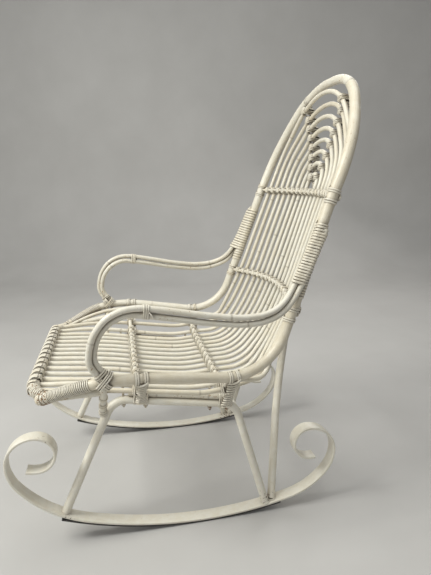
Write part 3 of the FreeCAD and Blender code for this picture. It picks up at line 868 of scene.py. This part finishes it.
def chain_start():
    """Where the front scroll's outer face begins, and its heading, found back from the contact point."""
    radius = ROCKING - TREAD
    angle = -radians(FRONT_ANGLE)
    y = CONTACT_Y + radius * sin(angle)
    z = ROCKING - radius * cos(angle)
    for bend, turn in SCROLL_FRONT:
        cy = y - bend * sin(angle)
        cz = z + bend * cos(angle)
        angle -= radians(turn)
        y = cy + bend * sin(angle)
        z = cz - bend * cos(angle)
    return (y, z), math.degrees(angle)


def rounded_box(half_u, half_v, r):
    """Corner-rounded rectangle, counter-clockwise."""
    out = []
    for cx, cy, a0 in ((1, 1, 0), (-1, 1, 90), (-1, -1, 180), (1, -1, 270)):
        for k in range(5):
            a = radians(a0 + 90 * k / 4)
            out.append((cx * (half_u - r) + r * cos(a), cy * (half_v - r) + r * sin(a)))
    return out


start, heading = chain_start()
chain = list(reversed(SCROLL_FRONT)) + [(ROCKING - TREAD, FRONT_ANGLE + REAR_ANGLE)] + SCROLL_REAR
rocker_path = chain_path(chain, start, heading, THICK / 2)


def flat_sweep(build, path, section, seed, wear=0.0):
    normal = frames(path, np.cross(X_AXIS, tangents(path)[0]))[1]
    build.sweep(path, 1.0, seed, section=section, start=normal[0], wear=wear)


def weld(build, centre, axis, radius, bead, seed, lobes=15):
    """A rippled bead of weld round a tube's foot."""
    rng = random.Random("weld%s" % seed)
    axis = unit(axis)
    u = unit(np.cross(axis, vec(0.3, 1, 0.2)))
    v = np.cross(axis, u)
    sides = 8
    count = lobes * 4
    rings = np.zeros((count, sides, 3))
    for k in range(count):
        a = 2 * pi * k / count
        out = u * cos(a) + v * sin(a)
        size = bead * (1 + 0.18 * sin(lobes * a) + rng.uniform(-0.10, 0.10))
        for j in range(sides):
            w = 2 * pi * j / sides
            rings[k, j] = centre + out * (radius + size * cos(w)) + axis * size * 0.8 * sin(w)
    build.grid(rings, rings * MM * 3, triples(count, sides, 0, 0, 0.35), closed_loop=True)


def bar_top_at(y):
    """Height of the rocker bar's upper face."""
    radius = ROCKING - TREAD - THICK
    return ROCKING - math.sqrt(radius ** 2 - (y - CONTACT_Y) ** 2)


for word, side in SIDES.items():
    b = Build()
    path = rocker_path + vec(side * ROCKER_X, 0, 0)
    worn = 0.55 * np.exp(-((path[:, 1] - 175) / 26) ** 2) * (1.0 if side < 0 else 0.4)
    worn += 0.5 * np.exp(-((path[:, 1] + 292) / 22) ** 2)
    worn *= path[:, 2] < 70
    flat_sweep(b, path, rounded_box(THICK / 2, WIDTH / 2, 1.6), 0.5 + 0.1 * side, worn)
    b.finish("rocker_" + word, STEEL)
    b = Build()
    ends = [math.asin((y - CONTACT_Y) / ROCKING) for y in (-296, 205)]
    angles = np.linspace(ends[0], ends[1], 90)
    middle = ROCKING - TREAD / 2
    tread = np.stack([np.full(90, side * float(ROCKER_X)), CONTACT_Y + middle * np.sin(angles),
                      ROCKING - middle * np.cos(angles)], 1)
    flat_sweep(b, tread, rounded_box(TREAD / 2, WIDTH / 2, 0.9), 0.3)
    b.finish("rubber_tread_" + word, RUBBER)


def steel_tube(build, path, radius, seed, wear):
    width = radius * (1 + 0.006 * np.sin(lengths(path) / 37.0 + seed * 4))
    build.sweep(path, width, seed, sides=22, wear=wear)


def rise_to_bar(path):
    """Drops samples that would sink into the rocker bar."""
    return np.array([p for p in path if p[2] > bar_top_at(p[1]) - 0.8])


def foot_wear(path, most):
    return np.clip(1 - (path[:, 2] - 20) / 60, 0, 1) * most


for word, side in SIDES.items():
    b = Build()
    path = rise_to_bar(smooth_path(side_points(HOOP, side), step=4.0))
    steel_tube(b, path, TUBE, 0.45 + 0.1 * side, foot_wear(path, 0.45))
    for end in (0, -1):
        foot = path[end]
        top = vec(foot[0], foot[1], bar_top_at(foot[1]) + 1.0)
        slope = (foot[1] - CONTACT_Y) / ROCKING
        weld(b, top, vec(0, -slope, 1), TUBE * 0.98, 2.0, side * 3 + end)
    b.finish("side_hoop_" + word, STEEL)

b = Build()
path = rise_to_bar(smooth_path(mirrored(BACK_STAY), step=5.0))
steel_tube(b, path, TUBE, 0.7, foot_wear(path, 0.4))
for end in (0, -1):
    foot = path[end]
    weld(b, vec(foot[0], foot[1], bar_top_at(foot[1]) + 1.0), vec(0, -0.18, 1), TUBE, 2.0, 40 + end)
b.finish("back_stay", STEEL)

b = Build()
hoop = smooth_path(HOOP, step=4.0)
leg_at_bar = nearest(hoop[len(hoop) // 2:], vec(190, 110, CROSS_BAR_Z))
reach = leg_at_bar[0] - TUBE * 0.62
path = np.stack([np.linspace(-reach, reach, 40), np.full(40, CROSS_BAR_Y), np.full(40, CROSS_BAR_Z)], 1)
steel_tube(b, path, CROSS_BAR, 0.35, 0.2)
for side in SIDES.values():
    weld(b, vec(side * (reach - 1.4), CROSS_BAR_Y, CROSS_BAR_Z), X_AXIS, CROSS_BAR * 0.95, 1.6, 50 + side)
b.finish("cross_bar", STEEL)


def lathe(build, profile, centre, sides, seed, turn=0.0):
    """A solid of revolution about Z: profile is (radius, height) from bottom to top."""
    rings = np.zeros((len(profile), sides, 3))
    for i, (r, h) in enumerate(profile):
        for j in range(sides):
            a = 2 * pi * j / sides + turn
            rings[i, j] = centre + vec(r * cos(a), r * sin(a), h)
    build.grid(rings, rings * MM * 4, triples(len(profile), sides, 0, seed, 0.4))


bolts = Build()
nuts = Build()
for side in SIDES.values():
    for k, y in enumerate(BOLT_Y):
        rail = flip(rail_point(y), side)
        low = -TUBE - 9
        top = TUBE + 2 * RUNNER + 2 * ROD + 1
        lathe(bolts, [(1.6, low), (2.4, low + 0.8), (2.5, top - 1.2), (5.0, top - 0.4), (5.4, top + 0.4),
                      (4.9, top + 1.5), (3.4, top + 2.5), (1.2, top + 3.0)], rail, 18, 0.2 * k)
        lathe(nuts, [(4.2, -TUBE - 4.9), (5.0, -TUBE - 4.2), (5.0, -TUBE - 0.7), (4.4, -TUBE + 0.1)],
              rail, 6, 0.3 * k, turn=0.3 * k)
        lathe(nuts, [(5.8, -TUBE - 0.2), (6.2, -TUBE + 0.2), (6.0, -TUBE + 0.9)], rail, 18, 0.1 * k)
bolts.finish("rail_bolts", FASTENER)
nuts.finish("rail_nuts", FASTENER)

# ---- cane bindings

# up the slope of the back, about one long
BACK_UP = vec(0, LEAN_SLOPE, 1) / 1.06

# crossed turns where the rods meet the canes of the back and the bars of the seat
lashings = {word: Build() for word in ("upper", "lumbar", "mid", "rear")}
for number in range(0, 9):
    for side in ((1,) if number == 0 else (1, -1)):
        rod = rod_paths[number]
        half = rod[:len(rod) // 2 + 1] if number else rod
        half = flip(half, side)
        seed = number * 2 + side
        rise = LUMBAR_RISE * (1 - (LUMBAR_PITCH * number / LUMBAR_REACH) ** 2)
        for target, label, pitch, z, lash_seed, width, thick in (
                ("upper", "upper_front_cane", UPPER_PITCH, UPPER_Z, seed, 3.5, 1.7),
                ("lumbar", "lumbar_front_cane", LUMBAR_PITCH, LUMBAR_Z + rise, 30 + seed, 3.9, 1.9)):
            cane, radius = bar_paths[label]
            centre = back_point(side * pitch * number, z)
            lash(lashings[target], centre, BACK_UP, direction_at(cane, centre), ROD, radius,
                          ROD + 2 * radius, lash_seed, width, thick)
        if number > 7:
            continue
        for y, word in ((MID_BAR_Y, "mid"), (REAR_BAR_Y, "rear")):
            bar = bar_paths[word + "_seat_bar"][0]
            x, z = rod_at(number, y)
            point = vec(side * x, y, z)
            over = point + vec(0, 0, 10)
            low = nearest(half, point)
            high = nearest(bar, over)
            centre = (vec(point[0], y, low[2]) + vec(point[0], y, high[2])) / 2
            lash(lashings[word], centre, direction_at(half, point), direction_at(bar, over),
                          ROD, BAR, ROD + BAR + 0.3, 60 + seed + y, 3.7, 1.9)
for word, build in lashings.items():
    build.finish(word + "_bar_lashings", CANE)

# rings on the outer frame, above and below the ends of the canes
rings = Build()
for side in SIDES.values():
    path = frame_half(side)
    for k, z in enumerate((UPPER_Z, LUMBAR_Z)):
        s = length_beyond(path, len(path) // 3, 2, z)
        for low in (-15, 8):
            winding(rings, path, FRAME, s + low, s + low + 9, 4.5, 4.6, 2.5, seed=k * 4 + low + side)
rings.finish("frame_rings", CANE)


# long bindings that hold the arms to the frame
for word, side in SIDES.items():
    path = frame_half(side)
    s_low, s_arm, s_high = [length_beyond(path, len(path) // 3, 2, z) for z in WRAP_HEIGHTS]
    arms = []
    # each arm runs up inside the binding to this height, where it thins away against the frame
    for level, top in (("upper", 674), ("lower", 666)):
        arm = arm_paths[level, word]
        rise = arm[(arm[:, 2] > 526) & (arm[:, 1] > 150)]

        def place(s, rise=rise, top=top, path=path, s_arm=s_arm):
            if s < s_arm:
                return None
            point = at_length(path, s)
            z = min(point[2] - 4, top)
            near = look_up(z, rise[:, 2], rise)
            size = ARM * min(1.0, max(0.3, (top + 26 - point[2]) / 26))
            toward = point - near
            return near + unit(toward) * (ARM - size), size
        arms.append(place)
    b = Build()
    turns = 27 if side > 0 else 21
    pitch = (s_high - s_low) / turns
    winding(b, path, FRAME, s_low, s_high, pitch, pitch * 0.93, 2.1, seed=5 + side, others=arms,
            samples=36, jitter=0.35)
    b.finish("frame_wrap_" + word, CANE)

# arm rings and arm feet
arm_rings = Build()
feet = Build()
for word, side in SIDES.items():
    up = arm_paths["upper", word]
    low = arm_paths["lower", word]

    def pair(s, up=up, low=low):
        point = at_length(up, s)
        return nearest(low, point), ARM
    s = length_beyond(up, len(up) // 4, 1, ARM_RING_Y)
    winding(arm_rings, up, ARM, s - 6.5, s + 6.5, 4.3, 4.4, 1.5, seed=11 + side, others=[pair], samples=30)
    tail = at_length(up, s + 5)
    loose = [tail + vec(side * 7.4, 0, -5), tail + vec(side * 9.5, 5, -11), tail + vec(side * 8, 9, -19)]
    strand(arm_rings, loose, 2.6, 0.9, vec(side, 0, 0), 0.4)
    s0 = length_where(up[:len(up) // 3], 2, 412)
    winding(feet, up, ARM, s0 + 2, s0 + 11, 4.4, 4.2, 1.8, seed=21 + side, others=[pair], samples=30)
    foot = at_length(up, s0)
    frame_line = frame_half(side)
    joint = nearest(frame_line, foot - vec(0, 0, 10))
    lash(feet, joint + vec(side * 2, 4, 5), direction_at(frame_line, joint), Z_AXIS, FRAME, FRAME,
                  FRAME + 1.5, 61 + side, 3.9, 2.4, pairs=3)
arm_rings.finish("arm_rings", CANE)
feet.finish("arm_foot_ties", CANE)

# collars on the outer frame, a column of slanting strands down to the steel rail, and its windings
collars = Build()
strands = Build()
for side in SIDES.values():
    path = frame_half(side)
    for y in COLLAR_Y:
        s = length_where(path, 1, y)
        for shift in (-12, 5):
            winding(collars, path, FRAME, s + shift, s + shift + 8.5, 4.2, 4.3, 1.5,
                    seed=31 + side + y + shift)
        frame_at = at_length(path, s)
        rail = flip(rail_point(y), side)
        top = frame_at + vec(side * 8, 0, -10)
        low = rail + vec(side * (TUBE + 1), 0, -2)
        down = unit(low - top)
        face = unit(np.cross(down, vec(0, side, 0)))
        count = 11
        for k in range(count):
            base = top + (low - top) * (k / (count - 1))
            bulge = 1.6 * sin(pi * k / (count - 1))
            wide = 12.5 - 2.5 * bulge
            points = [base + vec(0, -wide, 0) + down * 6 - face * 3,
                      base + vec(0, -wide * 0.5, 0) + face * 0.8,
                      base + vec(0, wide * 0.3, 0) - down * 3 + face * 1.4,
                      base + vec(0, wide, 0) - down * 8 - face * 3]
            strand(strands, points, 5.2, 3.2, face, 0.07 * k)
        back = low - face * 5
        for shift in (-6, 0, 6):
            strand(strands, [top - face * 5 + vec(0, shift, 0), (top + back) / 2 + vec(0, shift, 0),
                             back + vec(0, shift, 0)], 5.0, 2.0, face, 0.5)
        rail_line = np.array([flip(rail_point(v), side) for v in np.linspace(y - 40, y + 40, 30)])

        def runner_beside(s2, rail_line=rail_line):
            return at_length(rail_line, s2) + vec(0, 0, TUBE + RUNNER), RUNNER
        for low in (24, 44):
            winding(strands, rail_line, TUBE, low, low + 12, 4.4, 4.4, 1.4, seed=41 + side + low + y,
                    others=[runner_beside], samples=34)
collars.finish("frame_collars", CANE)
strands.finish("rail_strands", CANE)

# plait over the front edge: turns between the rods, and crossed strands over each rod's end
braid = Build()
rng = random.Random("braid")
for gap in range(-6, 6):
    for k in range(4):
        x = (gap + 0.5) * FRONT_PITCH + (k - 1.5) * 5.4
        near_rail = nearest(rail_path, vec(x, FRONT_Y, 363))
        centre = vec(x, near_rail[1], near_rail[2])
        loop_round(braid, centre, Z_AXIS, vec(0, -1, 0), RAIL + 0.7, RAIL + 0.7, 5.0, 1.9, rng.random(),
                   twist=rng.uniform(3.0, 4.5), samples=30)
for number in range(-6, 7):
    x = number * FRONT_PITCH
    near_rail = nearest(rail_path, vec(x, FRONT_Y, 363))
    base = vec(x, near_rail[1], near_rail[2])
    for lean, lift in ((1, 3.0), (-1, 4.7)):
        for k in range(2):
            pts = []
            for a in np.linspace(radians(-20), radians(200), 9):
                r = RAIL + lift
                drift = lean * 9.5 * cos(a) + (k - 0.5) * 4.6
                pts.append(base + vec(drift, -r * sin(a), r * cos(a)))
            path = smooth_path([tuple(p) for p in pts], step=2.5)
            out = unit_rows(path - (base + X_AXIS * (path - base)[:, :1]))
            braid.ribbon(path, out, unit_rows(np.cross(tangents(path), out)), 4.6, 1.5, seed=rng.random())
braid.finish("front_braid", CANE)

# turns round the front corners, on the outer frame and on the front rail
side_turns = Build()
for side in SIDES.values():
    path = frame_half(side)
    s0 = length_where(path, 1, -303)
    s1 = length_where(path, 1, -208)
    winding(side_turns, path, FRAME * 0.91, s0, s1, 3.9, 3.3, 2.0, seed=71 + side, samples=22)
    line = flip(rail_path[:len(rail_path) // 2], side)
    bend = length_where(line, 1, -304)
    inner = length_where(line, 0, side * 176)
    winding(side_turns, line, RAIL + 0.5, bend, inner, 5.6, 4.9, 2.2, seed=72 + side, samples=24,
            wear=0.62 if side > 0 else 0.1)
    for k, place in enumerate((s0 - 7, s0 + 2, s0 + 11)):
        winding(side_turns, path, FRAME * 0.92, place, place + 5, 5.0, 6.0, 2.6,
                seed=75 + side + k, samples=26, wear=0.85 if side > 0 else 0.1)
side_turns.finish("side_windings", CANE)

# wrapped cores of the vee, tied to each arch they cross
vee = Build()
for word, side in SIDES.items():
    path = carrier_paths[word]
    total = lengths(path)[-1]
    winding(vee, path, CARRIER, 3, total - 3, 5.6, 4.3, 1.8, seed=81 + side, samples=16)
    dense = at_length(path, np.linspace(0, total, 400))
    direction = unit(path[-1] - path[0])
    for number in range(1, 9):
        rod = rod_paths[number]
        gaps = norm(dense[:, None, :] - rod[None, :, :], axis=2)
        i, j = np.unravel_index(int(np.argmin(gaps)), gaps.shape)
        j = min(max(j, 1), len(rod) - 2)
        a = unit(rod[j + 1] - rod[j - 1])
        centre = (dense[i] + rod[j]) / 2
        depth = gaps[i, j] / 2 + ROD + 0.6
        lash(vee, centre, a, direction, ROD, CARRIER, depth, 90 + number + 20 * side, 3.6, 2.4,
                      pairs=3)
vee.finish("vee_wraps", CANE)

# ties at the top joints, at the back stay and on the arm struts
joints = Build()
for side in SIDES.values():
    path = flip(frame_path, side)
    winding(joints, path, ARCH_RAD, joint_s + 3, joint_s + 12, 3.0, 2.7, 0.9, seed=105 + side)
joints.finish("arch_joint_ties", CANE)

ties = Build()
for side in SIDES.values():
    low = vec(side * 34, 283, 470)
    high = back_point(side * 34, 505, ROD + BAR)
    up = unit(high - low)
    out = unit(np.cross(up, X_AXIS))
    for k in range(4):
        centre = (low + high) / 2 + vec((k - 1.5) * 4.0, 0, 0)
        loop_round(ties, centre, up, out, norm(high - low) / 2 + TUBE + 0.6, TUBE + 0.8, 3.9, 1.4,
                   0.2 * k, twist=1.5 * (-1) ** k, samples=34)
ties.finish("stay_ties", CANE)

bands = Build()
for word, side in SIDES.items():
    path = smooth_path(side_points(STRUT, side), step=3.0)
    for k, z in enumerate((298, 318, 340)):
        s = length_where(path, 2, z)
        winding(bands, path, STRUT_RAD, s - 5.5, s + 5.5, 5.0, 5.2, 2.3, seed=111 + k + side)
bands.finish("strut_bands", CANE)

# ---- floor, light and camera

CAMERA_PLACE = (1.117, -0.145, 0.778)
YAW = radians(12.04)
PITCH = radians(13.47)
ROLL = radians(0.58)


def stage_material():
    material, tree = new_material("floor")
    bsdf = tree.nodes["Principled BSDF"]
    cloud = noise(object_place(tree), 3.0)
    grey = ramp(cloud, [(0.3, (0.47, 0.46, 0.445)), (0.7, (0.51, 0.50, 0.485))])
    give(bsdf.inputs["Base Color"], grey)
    bsdf.inputs["Roughness"].default_value = 0.6
    return material


def backdrop():
    """A floor that curves up into a wall behind the object as the camera sees it."""
    away = unit(vec(-cos(YAW), sin(YAW), 0))
    right = vec(-away[1], away[0], 0) * -1
    profile = [(-4.0, 0.0)]
    profile += [(2.2 + 0.9 * sin(a), 0.9 - 0.9 * cos(a)) for a in np.linspace(0, pi / 2, 16)]
    profile += [(3.1, 4.5)]
    verts = []
    for x in (-6.0, 6.0):
        for d, h in profile:
            verts.append(tuple(away * d + right * x + vec(0, 0, h)))
    m = len(profile)
    faces = [(j, j + 1, m + j + 1, m + j) for j in range(m - 1)]
    mesh = bpy.data.meshes.new("backdrop")
    mesh.from_pydata(verts, [], faces)
    mesh.polygons.foreach_set("use_smooth", [True] * len(mesh.polygons))
    obj = add_object("backdrop", mesh)
    mesh.materials.append(stage_material())


backdrop()


def area(name, place, target, size, power, colour):
    """A rectangular light at a place, aimed at a target."""
    light = bpy.data.lights.new(name, "AREA")
    light.shape = "RECTANGLE"
    light.size = size[0]
    light.size_y = size[1]
    light.energy = power
    light.color = colour
    obj = add_object(name, light)
    obj.location = place
    direction = unit(vec(*target) - vec(*obj.location))
    obj.rotation_euler = Vector(direction).to_track_quat("-Z", "Y").to_euler()


area("key", (0.5, -2.3, 2.7), (0, 0, 0.45), (1.1, 1.0), 97, (0.995, 1.0, 0.955))
area("top", (0.1, 0.3, 3.0), (0, 0, 0.4), (2.6, 2.2), 33, (0.995, 1.0, 0.96))
area("fill", (2.5, -1.5, 1.7), (0, 0, 0.45), (1.8, 1.8), 19, (0.995, 1.0, 0.96))
area("rim", (-2.0, 1.6, 1.9), (0, 0, 0.6), (1.4, 1.6), 16, (1.0, 0.98, 0.95))

world = bpy.data.worlds.new("world")
world.use_nodes = True
sky = world.node_tree
glow = sky.nodes["Background"]
glow.inputs[0].default_value = (0.88, 0.89, 0.92, 1)
glow.inputs[1].default_value = 0.17
surround = node(sky, "ShaderNodeBackground", Color=(0.50, 0.495, 0.485, 1))
choose = node(sky, "ShaderNodeMixShader")
give(choose.inputs[0], node(sky, "ShaderNodeLightPath").outputs["Is Camera Ray"])
give(choose.inputs[1], glow.outputs[0])
give(choose.inputs[2], surround.outputs[0])
give(sky.nodes["World Output"].inputs[0], choose.outputs[0])
scene.world = world
scene.view_settings.view_transform = "Standard"
scene.view_settings.exposure = 0.0


def camera():
    data = bpy.data.cameras.new("camera")
    data.sensor_fit = "HORIZONTAL"
    data.sensor_width = 36.0
    data.lens = 37.87
    data.clip_start = 0.01
    obj = add_object("camera", data)
    ahead = vec(-cos(YAW) * cos(PITCH), sin(YAW) * cos(PITCH), -sin(PITCH))
    level = unit(np.cross(ahead, Z_AXIS))
    down = np.cross(ahead, level)
    right = level * cos(ROLL) + down * sin(ROLL)
    below = -level * sin(ROLL) + down * cos(ROLL)
    rows = [(right[k], -below[k], -ahead[k], CAMERA_PLACE[k]) for k in range(3)]
    obj.matrix_world = Matrix(rows + [(0, 0, 0, 1)])
    scene.camera = obj


camera()
